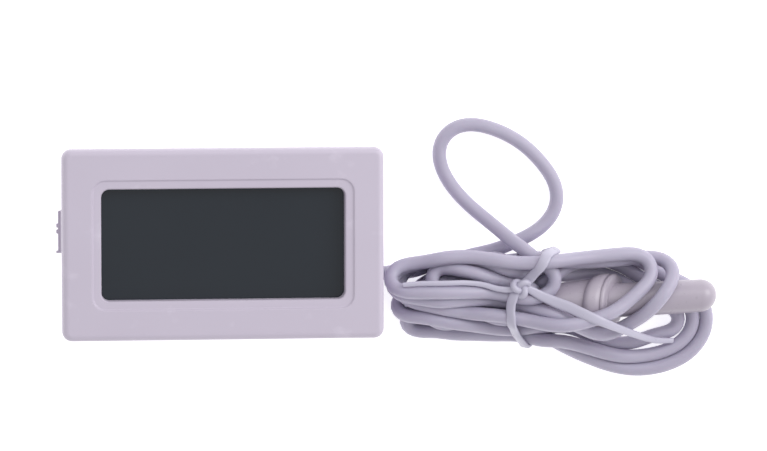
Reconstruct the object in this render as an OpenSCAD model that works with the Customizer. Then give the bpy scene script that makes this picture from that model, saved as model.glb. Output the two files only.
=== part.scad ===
// Panel thermometer with a remote sensor on a tied cord.
// Origin: centre of the flat back. +Z leaves the display, +X points to the cord, +Y to the top edge.

/* [Bezel] */
// Width of the bezel
bezel_w = 48; // [47:0.5:50]
// Height of the bezel
bezel_h = 28.6; // [28.2:0.2:31]
// Corner radius of the bezel, seen from the front
bezel_r = 1.45; // [1.1:0.05:2]
// Radius of the rounded front edge
edge_r = 0.95; // [0.4:0.05:1.1]
// Thickness of the bezel flange
flange_t = 2.4; // [2.2:0.1:2.8]

/* [Window] */
// Width of the display opening
window_w = 36.3; // [30:0.1:36.6]
// Height of the display opening
window_h = 16.6; // [12:0.1:17]
// Corner radius of the display opening
window_r = 1.2; // [0.8:0.1:2]
// Width of the sloped band around the opening
funnel_w = 1.3; // [0.8:0.1:1.6]
// Depth of the sloped band at the opening
funnel_d = 0.5; // [0.3:0.1:0.8]

/* [Body] */
// Overall depth from the face to the back
case_d = 15.2; // [15.2:0.1:16]
// Width of the body that passes through the panel
body_w = 46; // [45.8:0.1:46.2]
// Height of the body that passes through the panel
body_h = 26.2; // [26:0.1:26.6]
// Corner radius of the body
body_r = 1; // [0.6:0.1:1.3]
// Wall thickness of the body
wall = 1.4; // [1.3:0.05:1.5]
// Thickness of the rear cover plate
cover_t = 1.6; // [1.5:0.1:1.8]

/* [Panel clips] */
// Height of each clip along the side wall
clip_h = 6.3; // [5:0.1:7]
// Height of the clips' centre above the middle of the body
clip_y = 1.1; // [0:0.1:1.3]

/* [Button cells] */
// Diameter of one cell
cell_d = 11.6; // [11.4:0.1:11.8]
// Height of one cell
cell_h = 5.4; // [5.2:0.1:5.4]

/* [Cord and probe] */
// Diameter of the cord
cord_d = 2.1; // [1.9:0.1:2.2]
// Diameter of the probe shell
probe_d = 5; // [4.8:0.1:5.2]
// Diameter of the probe collar
collar_d = 8.2; // [7.6:0.1:8.4]
// Height of the tied hank
hank_h = 7; // [6.8:0.1:7.2]

/* [Hidden] */
$fn = 64;

// Overlap that makes a cut clean, and the usual gap between two pieces
cut = 1;
gap = 0.1;

// Heights of the stack, from the back to the face
plate_t = 2;
plate_z = case_d - plate_t;
flange_z = case_d - flange_t;
polariser_t = 0.2;
glass_t = 0.7;
seal_t = 0.2;
front_glass_z = plate_z - polariser_t - glass_t;
seal_z = front_glass_z - seal_t;
rear_glass_z = seal_z - glass_t;
reflector_z = rear_glass_z - polariser_t;
board_t = 1;
board_z = 8;
board_top = board_z + board_t;

// Display outline
glass_w = 38;
front_glass_h = 22.4;
rear_glass_h = 18;
zebra_w = 34;
zebra_t = 1.7;
zebra_y = 10.15;

// Circuit board and the screws that hold it to the bezel
board_w = 42.6;
board_h = 22.8;
screw_x = 20.4;
screw_y = 9.9;
boss_r = 1.2;
screw_r = 0.65;
screw_head_r = 1.1;
screw_head_t = 0.8;
screw_len = 4;
board_hole_r = 0.8;
notch_w = 2.3;

// Battery compartment in the rear cover
cell_pitch = 6.1;
cell_y = -4.6;
cell_z = 1.3;
cell_r = cell_d / 2;
pocket_r = 6;
well_w = 27.2;
well_top = 6.6;
blade_t = 0.2;
blade_w = 3;
rim_t = 0.9;
rim_h = 1.8;

// Battery door and the slot that it slides in
door_skin_w = 25;
door_tongue_w = 26.4;
door_skin_t = 0.55;
door_t = 1.1;
door_top = 2.4;
slot_gap = 0.2;
lip_t = 0.45;
ledge_z = 1.2;
door_bottom = -body_h / 2;
door_len = door_top - door_bottom;
grip_grooves = 5;
grip_pitch = 1;

// Clip section: x is the distance from the middle of the case, y is the height above the back
clip_hinge = [22.3, 2.9];
clip_knuckle_r = 0.55;
clip_section = [
    [21.75, 2.9], [22.85, 2.9], [24.2, 7.1], [24.2, 7.5], [23.85, 7.5], [23.85, 8.4],
    [23.5, 8.4], [23.5, 9.3], [23.15, 9.3], [23.15, 10.2], [22.3, 10.2], [22.3, 6.8]
];
clip_bump_r = 0.3;
clip_bump_y = [0, 1];
clip_fin_t = 0.3;
clip_window_z = [2.2, 10.6];
clip_side_gap = 0.3;

// Cord: where it leaves the body, and the pieces that hold it there
cord_r = cord_d / 2;
exit_y = -5.7;
exit_z = 3.6;
exit_x = 23.6;
bushing_r = 1.6;
bushing_flange_r = 1.9;
stop_r = 1.6;
stop_t = 1.2;
inner_end_x = 18.6;
wire_r = 0.3;
wire_gap = 0.45;

// Hank: two crossing runs with round ends, lying on the surface that the case lies on
hank_upper = [32, -8.3];
hank_upper_turn = 1;
hank_upper_len = 30.4;
hank_upper_r = 6.5;
hank_lower = [33, -8.7];
hank_lower_turn = -7.7;
hank_lower_len = 35.1;
hank_lower_r = 6.9;

// Tie around the waist of the hank
tie_x = 44.5;
tie_w = 1.3;
tie_t = 0.6;
tie_top = -2.4;
tie_bottom = -17.2;
tie_corner_r = 2.6;
knot_r = 1.2;
knot_top = 9;
tail_r = 0.45;
knot_place = [44.9, -8.1, 7.7];
left_tail_route = [knot_place, [38, -7, 7.5], [28.5, -7, 7.5]];
right_tail_route = [knot_place, [50, -9.8, 9.2], [57, -12.8, 9.4], [62, -14.2, 8.6], [69, -16, 7.5]];

// Probe, lying in the hank: place of its tip and turn of its axis from X
probe_tip_y = -9.45;
probe_z = 4.8;
probe_turn = 2.6;
probe_r = probe_d / 2;
tail_x = 48;
tail_taper = 1.6;
tail_end_r = 1.8;
tail_body_r = 2.45;
collar_x = 57.6;
collar_len = 3.5;
collar_r = collar_d / 2;
collar_round = 1.2;
collar_groove = 0.25;
shell_x = collar_x + collar_len;
probe_tip_x = 75.8;
shell_root_r = probe_r + 0.1;
shell_wall = 0.6;
shell_shoulder = 5.5;
cavity_r = probe_r - shell_wall;
cavity_len = probe_tip_x - shell_x - shell_wall;
probe_clear = 0.35;
probe_channel_x = 46;
inner_cord_depth = 1.4;
bead_r = 0.8;
bead_depth = 11.4;
lead_r = 0.15;
lead_y = 0.35;

// Routes of the cord where it isn't wound: round numbers along its centre line, the last
// stretch measured back from the probe's tip
exit_route = [[23.6, -5.7, 3.6], [25, -5.7, 3.6], [26.6, -5.7, 3.5]];
probe_route = [[-30.2, 0, 0], [-29, 0, 0], [-27.8, 0, 0]];
loop_route = [
    [42.5, -1.9, 1.1], [44.5, -1.2, 1.1], [46.5, -0.6, 1.1], [49.5, 0.8, 1.1], [51.5, 3, 1.1],
    [52.2, 6, 1.1], [51.7, 9, 1.1], [50, 11.6, 1.1], [47.3, 13.8, 1.1], [44.3, 15.5, 1.1],
    [41.3, 16.6, 1.1], [38.4, 16.8, 1.1], [36, 15.9, 1.1], [34.6, 14, 1.1], [34.4, 11.6, 1.1],
    [35.2, 9.1, 1.1], [37, 6.4, 1.2], [39.3, 4, 1.7], [42.1, 1.7, 2.7], [44.8, 0, 3.5],
    [46.3, -1.1, 3.9], [47.8, -2.3, 4.3]
];

// Colours
shell_white = [0.9, 0.89, 0.91];
cord_white = [0.88, 0.87, 0.91];
probe_white = [0.9, 0.88, 0.88];
cell_steel = [0.78, 0.79, 0.8];
contact_nickel = [0.8, 0.78, 0.7];
glass_dark = [0.22, 0.26, 0.28];
board_green = [0.12, 0.4, 0.22];

// ---- Shared shapes ----

module rounded_rect(w, h, r) {
    square([w - 2 * r, h], center = true);
    square([w, h - 2 * r], center = true);
    for (x = [-1, 1], y = [-1, 1])
        translate([x * (w / 2 - r), y * (h / 2 - r)])
            circle(r = r);
}

module rounded_block(w, h, r, t) {
    linear_extrude(height = t)
        rounded_rect(w, h, r);
}

// Plate whose edge has a given section all round, drawn from a corner's centre outward
module framed_plate(w, h, r, t) {
    long = w - 2 * r;
    short = h - 2 * r;
    translate([-long / 2, -short / 2, 0])
        cube([long, short, t]);
    for (x = [-1, 1], y = [-1, 1])
        translate([x * long / 2, y * short / 2, 0])
            rotate_extrude()
                children();
    for (turn = [0, 180]) {
        rotate([0, 0, turn])
            translate([long / 2, short / 2, 0])
                rotate([90, 0, 0])
                    linear_extrude(height = short)
                        children();
        rotate([0, 0, turn])
            translate([-long / 2, short / 2, 0])
                rotate([90, 0, 90])
                    linear_extrude(height = long)
                        children();
    }
}

// Plate whose front edge is rounded all round
module soft_plate(w, h, r, edge, t) {
    framed_plate(w, h, r, t) {
        square([r, t - edge]);
        square([r - edge, t]);
        intersection() {
            translate([r - edge, t - edge])
                circle(r = edge);
            square([r, t]);
        }
    }
}

// Opening that narrows from the face down to the window
module funnel(w, h, r, spread, depth) {
    framed_plate(w, h, r, depth)
        polygon([[0, 0], [r, 0], [r + spread, depth], [0, depth]]);
}

function unit(v) = v / norm(v);
function heading(route, i) = unit(route[min(i + 1, len(route) - 1)] - route[max(i - 1, 0)]);
function ring(route, i, r, sides, normal) =
    let (t = heading(route, i), side = unit(cross(t, normal)), up = cross(side, t))
    [for (k = [0 : sides - 1]) route[i] + r * (cos(360 * k / sides) * side + sin(360 * k / sides) * up)];

// One closed tube along a route that never runs along the normal
module tube(route, r, normal = [0, 0, 1], sides = 8) {
    rings = len(route);
    points = [for (i = [0 : rings - 1]) each ring(route, i, r, sides, normal)];
    walls = [
        for (i = [0 : rings - 2], k = [0 : sides - 1])
            let (a = i * sides + k, b = i * sides + (k + 1) % sides)
            each [[a, b, b + sides], [a, b + sides, a + sides]]
    ];
    start_cap = [for (k = [sides - 1 : -1 : 0]) k];
    end_cap = [for (k = [0 : sides - 1]) (rings - 1) * sides + k];
    polyhedron(points = points, faces = concat(walls, [start_cap, end_cap]));
}

// ---- Housing ----

module front_case() {
    color(shell_white)
        difference() {
            union() {
                translate([0, 0, cover_t])
                    rounded_block(body_w, body_h, body_r, case_d - cover_t - plate_t / 2);
                translate([0, 0, flange_z])
                    soft_plate(bezel_w, bezel_h, bezel_r, edge_r, flange_t);
            }
            case_cavity();
            window_cut();
            for (side = [-1, 1])
                clip_window(side);
            translate([body_w / 2 - wall - cut, exit_y, exit_z])
                rotate([0, 90, 0])
                    cylinder(r = bushing_r, h = wall + 2 * cut);
            at_screws()
                translate([0, 0, board_top - cut])
                    cylinder(r = screw_r, h = screw_len - board_t + cut);
        }
}

// Inside of the tub, round the four bosses that the board sits against
module case_cavity() {
    difference() {
        translate([0, 0, cover_t - cut])
            rounded_block(body_w - 2 * wall, body_h - 2 * wall, body_r / 2, plate_z - cover_t + cut);
        at_screws()
            translate([0, 0, board_top])
                cylinder(r = boss_r, h = plate_z);
    }
}

module at_screws() {
    for (x = [-1, 1], y = [-1, 1])
        translate([x * screw_x, y * screw_y, 0])
            children();
}

module window_cut() {
    translate([0, 0, plate_z - cut])
        rounded_block(window_w, window_h, window_r, plate_t + 2 * cut);
    translate([0, 0, case_d - funnel_d])
        funnel(window_w, window_h, window_r, funnel_w, funnel_d);
}

module clip_window(side) {
    translate([
        side * (body_w / 2 - wall / 2) - wall, clip_y - clip_h / 2 - clip_side_gap, clip_window_z[0]
    ])
        cube([2 * wall, clip_h + 2 * clip_side_gap, clip_window_z[1] - clip_window_z[0]]);
}

// Sprung tongue with a ratchet face that grips the panel
module clip_blank() {
    translate([0, clip_y + clip_h / 2, 0])
        rotate([90, 0, 0])
            linear_extrude(height = clip_h) {
                polygon(clip_section);
                translate(clip_hinge)
                    circle(r = clip_knuckle_r);
            }
    for (y = clip_bump_y)
        translate([clip_section[2].x, clip_y + y, 6.4])
            cylinder(r = clip_bump_r, h = clip_section[3].y - 6.4);
    translate([clip_section[2].x - 1, clip_y - clip_h / 2, 6])
        cube([1 + clip_bump_r, clip_fin_t, clip_section[3].y - 6]);
}

module clip_left() {
    color(shell_white)
        mirror([1, 0, 0])
            clip_blank();
}

module clip_right() {
    color(shell_white)
        clip_blank();
}

module rear_cover() {
    color(shell_white)
        difference() {
            union() {
                rounded_block(body_w, body_h, body_r, cover_t);
                cover_rim();
                translate([-well_w / 2, -body_h / 2 + wall + gap, 0])
                    cube([well_w, door_top + body_h / 2 - wall - gap, well_top]);
            }
            door_slot();
            cell_pockets();
            rim_notch();
        }
}

module cover_rim() {
    rim_w = body_w - 2 * wall - 2 * gap;
    rim_l = body_h - 2 * wall - 2 * gap;
    translate([0, 0, cover_t])
        difference() {
            rounded_block(rim_w, rim_l, body_r / 2, rim_h);
            translate([0, 0, -cut])
                rounded_block(rim_w - 2 * rim_t, rim_l - 2 * rim_t, body_r / 4, rim_h + 2 * cut);
        }
}

// Room in the rim for the cord and the ring that stops it
module rim_notch() {
    translate([inner_end_x, exit_y - stop_r - slot_gap, cover_t])
        cube([body_w / 2 - inner_end_x, 2 * (stop_r + slot_gap), rim_h + cut]);
}

module door_slot() {
    slot_len = door_len + slot_gap + cut;
    translate([-door_skin_w / 2 - slot_gap, door_bottom - cut, -cut])
        cube([door_skin_w + 2 * slot_gap, slot_len, ledge_z + cut]);
    translate([-door_tongue_w / 2 - slot_gap, door_bottom - cut, lip_t])
        cube([door_tongue_w + 2 * slot_gap, slot_len, ledge_z - lip_t]);
}

module cell_pockets() {
    for (side = [-1, 1])
        translate([side * cell_pitch, cell_y, ledge_z - gap])
            cylinder(r = pocket_r, h = well_top);
    translate([-0.6, cell_y - blade_w / 2 - slot_gap, ledge_z + cut])
        cube([1.2, blade_w + 2 * slot_gap, well_top]);
    translate([cell_pitch + cell_r - slot_gap, cell_y - blade_w / 2 - slot_gap, ledge_z + cut])
        cube([0.8, blade_w + 2 * slot_gap, well_top]);
}

module battery_door() {
    color(shell_white)
        difference() {
            union() {
                translate([-door_skin_w / 2, door_bottom, 0])
                    cube([door_skin_w, door_len, door_t]);
                translate([-door_tongue_w / 2, door_bottom, door_skin_t])
                    cube([door_tongue_w, door_len, door_t - door_skin_t]);
            }
            for (i = [0 : grip_grooves - 1])
                translate([-4, door_bottom + 1.5 + i * grip_pitch, -cut])
                    cube([8, grip_pitch / 2, cut + 0.3]);
        }
}

module board_screws() {
    color(cell_steel)
        at_screws()
            difference() {
                union() {
                    translate([0, 0, board_z])
                        cylinder(r = screw_r, h = screw_len);
                    translate([0, 0, board_z - screw_head_t])
                        cylinder(r = screw_head_r, h = screw_head_t);
                }
                for (turn = [0, 90])
                    translate([0, 0, board_z - screw_head_t])
                        rotate([0, 0, turn])
                            cube([1.4, 0.3, 0.7], center = true);
            }
}

// ---- Display ----

module display_polariser() {
    color(glass_dark)
        translate([0, 0, plate_z - polariser_t])
            rounded_block(glass_w - 1, rear_glass_h + 0.4, 0.3, polariser_t);
}

module display_front_glass() {
    color(glass_dark)
        translate([0, 0, front_glass_z])
            rounded_block(glass_w, front_glass_h, 0.2, glass_t);
}

module display_seal() {
    color([0.6, 0.6, 0.55])
        translate([0, 0, seal_z])
            difference() {
                rounded_block(glass_w, rear_glass_h, 0.2, seal_t);
                translate([0, 0, -cut])
                    rounded_block(glass_w - 1.4, rear_glass_h - 1.4, 0.6, seal_t + 2 * cut);
            }
}

module display_rear_glass() {
    color(glass_dark)
        translate([0, 0, rear_glass_z])
            rounded_block(glass_w, rear_glass_h, 0.2, glass_t);
}

module display_reflector() {
    color([0.62, 0.64, 0.62])
        translate([0, 0, reflector_z])
            rounded_block(glass_w - 1, rear_glass_h - 0.6, 0.3, polariser_t);
}

module zebra_strip(y) {
    color([0.82, 0.5, 0.62])
        translate([-zebra_w / 2, y - zebra_t / 2, board_top])
            cube([zebra_w, zebra_t, front_glass_z - board_top]);
}

module zebra_strip_upper() {
    zebra_strip(zebra_y);
}

module zebra_strip_lower() {
    zebra_strip(-zebra_y);
}

// ---- Circuit board ----

module circuit_board() {
    color(board_green)
        translate([0, 0, board_z])
            difference() {
                rounded_block(board_w, board_h, 0.6, board_t);
                at_screws()
                    translate([0, 0, -cut])
                        cylinder(r = board_hole_r, h = board_t + 2 * cut);
                for (side = [-1, 1])
                    translate([side * board_w / 2 - notch_w, clip_y - clip_h / 2 - cut, -cut])
                        cube([2 * notch_w, clip_h + 2 * cut, board_t + 2 * cut]);
            }
}

module controller_blob() {
    blob_w = 8.4;
    blob_h = 1.2;
    dome_r = (pow(blob_w / 2, 2) + pow(blob_h, 2)) / (2 * blob_h);
    color([0.08, 0.08, 0.09])
        translate([-4, 0, board_top])
            rotate_extrude()
                intersection() {
                    translate([0, blob_h - dome_r])
                        circle(r = dome_r, $fn = 180);
                    square([blob_w, blob_h + cut]);
                }
}

module timing_crystal() {
    can_r = 1;
    can_len = 6;
    lead_wire_r = 0.15;
    can_z = board_z - can_r;
    color([0.8, 0.81, 0.83]) {
        translate([-12, 7.5, can_z])
            rotate([0, 90, 0])
                cylinder(r = can_r, h = can_len);
        for (side = [-1, 1]) {
            translate([-6.1, 7.5 + side * 0.4, can_z])
                rotate([0, 90, 0])
                    cylinder(r = lead_wire_r, h = 1.1);
            translate([-5 - lead_wire_r, 7.5 + side * 0.4, can_z - lead_wire_r])
                cylinder(r = lead_wire_r, h = board_z - can_z + lead_wire_r);
        }
    }
}

module chip_resistors() {
    color([0.1, 0.1, 0.11])
        for (i = [0 : 3])
            translate([i * 2.6, 6, board_z - 0.5])
                cube([1.6, 0.8, 0.5]);
}

module chip_capacitors() {
    color([0.72, 0.6, 0.45])
        for (i = [0 : 2])
            translate([i * 3.2 + 0.4, 8.4, board_z - 0.8])
                cube([2, 1.2, 0.8]);
}

// ---- Battery contacts ----

// Strip bent to a section in XZ, centred on the cells in Y
module strip(section) {
    color(contact_nickel)
        translate([0, cell_y + blade_w / 2, 0])
            rotate([90, 0, 0])
                linear_extrude(height = blade_w)
                    polygon(section);
}

// Finger under the board that presses on a cell cap centred at x
function finger(x) = [
    [x - 0.5, cell_z + cell_h], [x + 0.5, cell_z + cell_h], [x + 1.4, board_z - 0.7],
    [x + 1.25, board_z - 0.55], [x + 0.4, cell_z + cell_h + blade_t],
    [x - 0.4, cell_z + cell_h + blade_t], [x - 2, board_z]
];

module contact_negative() {
    strip(concat(
        [[-cell_pitch - 5, board_z], [-cell_pitch - 5, board_z - blade_t], [-cell_pitch - 2.1, board_z - blade_t]],
        finger(-cell_pitch)
    ));
}

module contact_bridge() {
    blade_x = -cell_pitch + cell_r + gap / 2;
    strip(concat(
        [
            [blade_x, board_z], [blade_x, cell_z + 1.6], [blade_x + blade_t, cell_z + 1.6],
            [blade_x + blade_t, board_z - blade_t], [cell_pitch - 2.1, board_z - blade_t]
        ],
        finger(cell_pitch)
    ));
}

module contact_positive() {
    blade_x = cell_pitch + cell_r + gap / 2;
    strip([
        [blade_x, board_z], [blade_x, cell_z + 1.6], [blade_x + blade_t, cell_z + 1.6],
        [blade_x + blade_t, board_z - blade_t], [blade_x + 3, board_z - blade_t],
        [blade_x + 3, board_z]
    ]);
}

// ---- Button cells ----

cap_r = 4.7;
gasket_r = 5.2;
can_h = 4.9;
gasket_z = 3.9;

module cell_can(side) {
    color(cell_steel)
        translate([side * cell_pitch, cell_y, cell_z])
            difference() {
                cylinder(r = cell_r, h = can_h);
                translate([0, 0, gasket_z])
                    cylinder(r = gasket_r, h = can_h);
            }
}

module cell_gasket(side) {
    color([0.15, 0.25, 0.2])
        translate([side * cell_pitch, cell_y, cell_z + gasket_z])
            difference() {
                cylinder(r = gasket_r, h = can_h - gasket_z + 0.1);
                translate([0, 0, -cut])
                    cylinder(r = cap_r, h = can_h);
            }
}

module cell_cap(side) {
    color(cell_steel)
        translate([side * cell_pitch, cell_y, cell_z + gasket_z])
            cylinder(r = cap_r, h = cell_h - gasket_z);
}

module cell_a_can() { cell_can(-1); }
module cell_a_gasket() { cell_gasket(-1); }
module cell_a_cap() { cell_cap(-1); }
module cell_b_can() { cell_can(1); }
module cell_b_gasket() { cell_gasket(1); }
module cell_b_cap() { cell_cap(1); }

// ---- Cord inside the case ----

// Turn a shape from Z to X and put its start at x on the cord's line through the wall
module on_exit(x) {
    translate([x, exit_y, exit_z])
        rotate([0, 90, 0])
            children();
}

module cord_bushing() {
    color(shell_white)
        difference() {
            union() {
                on_exit(body_w / 2 - wall)
                    cylinder(r = bushing_r, h = wall);
                on_exit(body_w / 2)
                    cylinder(r = bushing_flange_r, h = exit_x - body_w / 2);
            }
            on_exit(body_w / 2 - wall - cut)
                cylinder(r = cord_r, h = wall + 3 * cut);
        }
}

module cord_stop() {
    color(cell_steel)
        difference() {
            on_exit(body_w / 2 - wall - stop_t)
                cylinder(r = stop_r, h = stop_t);
            on_exit(body_w / 2 - wall - stop_t - cut)
                cylinder(r = cord_r, h = stop_t + 2 * cut);
        }
}

module cord_inner_end() {
    color(cord_white)
        on_exit(inner_end_x)
            cylinder(r = cord_r, h = exit_x - inner_end_x);
}

module sensor_wire(side, tone) {
    wire_y = exit_y + side * wire_gap;
    color(tone)
        tube([
            [inner_end_x, wire_y, exit_z], [18, wire_y, exit_z + 0.1],
            [17.2, exit_y + side * 0.6, exit_z + 0.5], [16.6, exit_y + side * 0.8, exit_z + 1.3],
            [16.4, exit_y + side, exit_z + 2.4], [16.4, exit_y + side, board_z]
        ], wire_r, normal = [0, 1, 0]);
}

module sensor_wire_a() { sensor_wire(-1, [0.75, 0.1, 0.1]); }
module sensor_wire_b() { sensor_wire(1, [0.12, 0.12, 0.12]); }

// ---- Cord outside the case ----

module cord_exit_run() {
    color(cord_white)
        tube(exit_route, cord_r);
}

module cord_free_loop() {
    color(cord_white)
        tube(loop_route, cord_r);
}

module cord_probe_run() {
    color(cord_white)
        at_probe(probe_tip_x)
            tube(probe_route, cord_r);
}

// Flat run of a given length from a point, with round ends
module stadium(start, angle, length, r) {
    translate(start)
        rotate(angle) {
            circle(r = r);
            translate([length, 0])
                circle(r = r);
            translate([0, -r])
                square([length, 2 * r]);
        }
}

module cord_hank() {
    color(cord_white)
        difference() {
            linear_extrude(height = hank_h) {
                stadium(hank_upper, hank_upper_turn, hank_upper_len, hank_upper_r);
                stadium(hank_lower, hank_lower_turn, hank_lower_len, hank_lower_r);
            }
            probe_channel();
            tie_groove();
        }
}

// Trough that the probe lies in, open to the top
module probe_channel() {
    trough(probe_channel_x, probe_tip_x + 2 * cut, tail_body_r + probe_clear);
    trough(collar_x - probe_clear, shell_x + probe_clear, collar_r + probe_clear);
}

module trough(x0, x1, r) {
    at_probe(x0)
        rotate([90, 0, 90])
            linear_extrude(height = x1 - x0) {
                circle(r = r);
                translate([-r, 0])
                    square([2 * r, hank_h]);
            }
}

// Section of the tie's band, or of the waist that it holds when inset is the band's thickness
module tie_section(inset) {
    h = tie_top - tie_bottom;
    translate([hank_h / 2, (tie_top + tie_bottom) / 2])
        rounded_rect(hank_h - 2 * inset, h - 2 * inset, tie_corner_r - inset);
}

// Turn a section drawn as height and Y into a slice of the hank across X
module across_hank(x, w) {
    translate([x - w / 2, 0, 0])
        rotate([0, -90, 0])
            mirror([0, 0, 1])
                linear_extrude(height = w)
                    children();
}

module tie_groove() {
    difference() {
        translate([tie_x - tie_w / 2, tie_bottom - cut, -cut])
            cube([tie_w, tie_top - tie_bottom + 2 * cut, hank_h + 2 * cut]);
        across_hank(tie_x, tie_w + 2 * cut)
            tie_section(tie_t);
    }
}

module cord_tie() {
    color(cord_white) {
        across_hank(tie_x, tie_w)
            difference() {
                tie_section(0);
                tie_section(tie_t);
            }
        translate([knot_place.x, knot_place.y, hank_h])
            cylinder(r = knot_r, h = knot_top - hank_h);
        tube(left_tail_route, tail_r);
        tube(right_tail_route, tail_r);
    }
}

// ---- Probe ----

// Move a shape to a distance along X on the probe's axis, turned with the probe
module at_probe(x) {
    translate([probe_tip_x, probe_tip_y, probe_z])
        rotate([0, 0, probe_turn])
            translate([x - probe_tip_x, 0, 0])
                children();
}

// Turn a section of radius over length into a solid along the probe that starts at x
module along_probe(x) {
    at_probe(x)
        rotate([0, 90, 0])
            rotate_extrude()
                children();
}

module probe_tail() {
    tail_len = collar_x - tail_x;
    color(probe_white)
        along_probe(tail_x)
            polygon([
                [cord_r, 0], [tail_end_r, 0], [tail_body_r, tail_taper],
                [tail_body_r, tail_len], [cord_r, tail_len]
            ]);
}

module probe_collar() {
    color(probe_white)
        along_probe(collar_x)
            difference() {
                union() {
                    translate([cord_r, 0])
                        square([collar_r - collar_round - cord_r, collar_len]);
                    translate([cord_r, collar_round])
                        square([collar_r - cord_r, collar_len - 1.5 * collar_round]);
                    translate([collar_r - collar_round, collar_round])
                        circle(r = collar_round);
                    translate([collar_r - collar_round / 2, collar_len - collar_round / 2])
                        circle(r = collar_round / 2);
                    translate([collar_r - collar_round - cut, 0])
                        square([cut + collar_round / 2, collar_len]);
                }
                translate([collar_r - collar_groove, collar_len / 2 + 0.2])
                    square([cut, 0.4]);
            }
}

module probe_shell() {
    shell_len = probe_tip_x - shell_x;
    color(probe_white)
        along_probe(shell_x)
            difference() {
                union() {
                    polygon([
                        [0, 0], [shell_root_r, 0], [shell_root_r, shell_len - shell_shoulder],
                        [probe_r, shell_len - shell_shoulder + 1], [probe_r, shell_len - probe_r],
                        [0, shell_len - probe_r]
                    ]);
                    intersection() {
                        translate([0, shell_len - probe_r])
                            circle(r = probe_r);
                        square([probe_r, shell_len]);
                    }
                }
                cavity_section();
            }
}

// Round-ended hollow of the probe shell
module cavity_section() {
    square([cavity_r, cavity_len - cavity_r]);
    intersection() {
        translate([0, cavity_len - cavity_r])
            circle(r = cavity_r);
        square([cavity_r, cavity_len]);
    }
}

module probe_potting() {
    color([0.35, 0.33, 0.3])
        difference() {
            along_probe(shell_x)
                cavity_section();
            at_probe(shell_x - cut)
                rotate([0, 90, 0])
                    cylinder(r = cord_r, h = inner_cord_depth + cut);
            thermistor_bead();
            thermistor_leads();
        }
}

module probe_cord_end() {
    color(cord_white)
        at_probe(tail_x)
            rotate([0, 90, 0])
                cylinder(r = cord_r, h = shell_x + inner_cord_depth - tail_x);
}

module thermistor_bead() {
    color([0.1, 0.1, 0.1])
        at_probe(shell_x + bead_depth)
            sphere(r = bead_r);
}

module thermistor_leads() {
    lead_len = bead_depth - inner_cord_depth - sqrt(pow(bead_r, 2) - pow(lead_y + lead_r, 2));
    color([0.8, 0.8, 0.82])
        for (side = [-1, 1])
            at_probe(shell_x + inner_cord_depth)
                translate([0, side * lead_y, 0])
                    rotate([0, 90, 0])
                        cylinder(r = lead_r, h = lead_len);
}

front_case();
rear_cover();
battery_door();
clip_left();
clip_right();
board_screws();
display_polariser();
display_front_glass();
display_seal();
display_rear_glass();
display_reflector();
zebra_strip_upper();
zebra_strip_lower();
circuit_board();
controller_blob();
timing_crystal();
chip_resistors();
chip_capacitors();
contact_negative();
contact_bridge();
contact_positive();
cell_a_can();
cell_a_gasket();
cell_a_cap();
cell_b_can();
cell_b_gasket();
cell_b_cap();
cord_bushing();
cord_stop();
cord_inner_end();
sensor_wire_a();
sensor_wire_b();
cord_exit_run();
cord_free_loop();
cord_hank();
cord_tie();
cord_probe_run();
probe_tail();
probe_collar();
probe_shell();
probe_potting();
probe_cord_end();
thermistor_bead();
thermistor_leads();
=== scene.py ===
import math
import bpy
import bmesh
import numpy as np
from mathutils import Vector, Matrix


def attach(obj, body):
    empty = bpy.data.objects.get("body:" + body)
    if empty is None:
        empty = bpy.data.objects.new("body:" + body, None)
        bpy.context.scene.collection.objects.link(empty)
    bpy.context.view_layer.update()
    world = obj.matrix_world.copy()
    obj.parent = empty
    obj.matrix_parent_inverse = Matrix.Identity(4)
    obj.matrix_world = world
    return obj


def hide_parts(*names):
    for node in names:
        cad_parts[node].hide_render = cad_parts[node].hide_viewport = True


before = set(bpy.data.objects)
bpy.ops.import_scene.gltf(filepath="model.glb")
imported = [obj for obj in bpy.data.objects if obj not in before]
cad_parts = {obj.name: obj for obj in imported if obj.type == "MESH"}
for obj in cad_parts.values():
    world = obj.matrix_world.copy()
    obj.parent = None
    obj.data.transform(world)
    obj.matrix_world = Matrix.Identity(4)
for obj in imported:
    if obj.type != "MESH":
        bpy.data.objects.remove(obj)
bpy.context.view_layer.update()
MM = 0.001
scene = bpy.context.scene

# ---------------------------------------------------------------- camera (millimetres)
# above the display, a little to the left and the top
BEZEL_FACE = 15.2
LOOK_AT = np.array((23.88, 2.63, BEZEL_FACE))
CAMERA_FAR = 860
CAMERA_SIDE = (-0.1045, 0.0958)
PICTURE_WIDE = 114.3
SENSOR = 36
cam_data = bpy.data.cameras.new("camera")
camera = bpy.data.objects.new("camera", cam_data)
scene.collection.objects.link(camera)
scene.camera = camera
toward = np.array((CAMERA_SIDE[0], CAMERA_SIDE[1], math.sqrt(1 - CAMERA_SIDE[0] ** 2 - CAMERA_SIDE[1] ** 2)))
camera.location = Vector((LOOK_AT + CAMERA_FAR * toward) * MM)
back = Vector(toward)
right = Vector((0, 1, 0)).cross(back).normalized()
up = back.cross(right)
camera.rotation_mode = "QUATERNION"
camera.rotation_quaternion = Matrix((right, up, back)).transposed().to_quaternion()
cam_data.sensor_width = SENSOR
cam_data.lens = SENSOR * CAMERA_FAR / PICTURE_WIDE
cam_data.clip_start, cam_data.clip_end = 0.05, 10


# ---------------------------------------------------------------- cord: route and settling (millimetres)
CORD_D = 2.1
CORD_R = CORD_D / 2
STEP = 1.0
# How much of a shove between two strands goes sideways, and the bend (1 / mm) where the cord straightens
SIDEWAYS = 0.45
BEND_LIMIT = 0.55
# How firmly the seen stretches and the hidden ones are drawn to their route
HOLD_SEEN, HOLD_HIDDEN = 0.12, 0.02
# Where the tie passes under the hank, how far to each side it lifts the cord, and by how much
TIE_X, TIE_REACH, TIE_LIFT = 49.5, 5, 0.9
EXIT_Y, EXIT_Z = -5.7, 3.6
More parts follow.
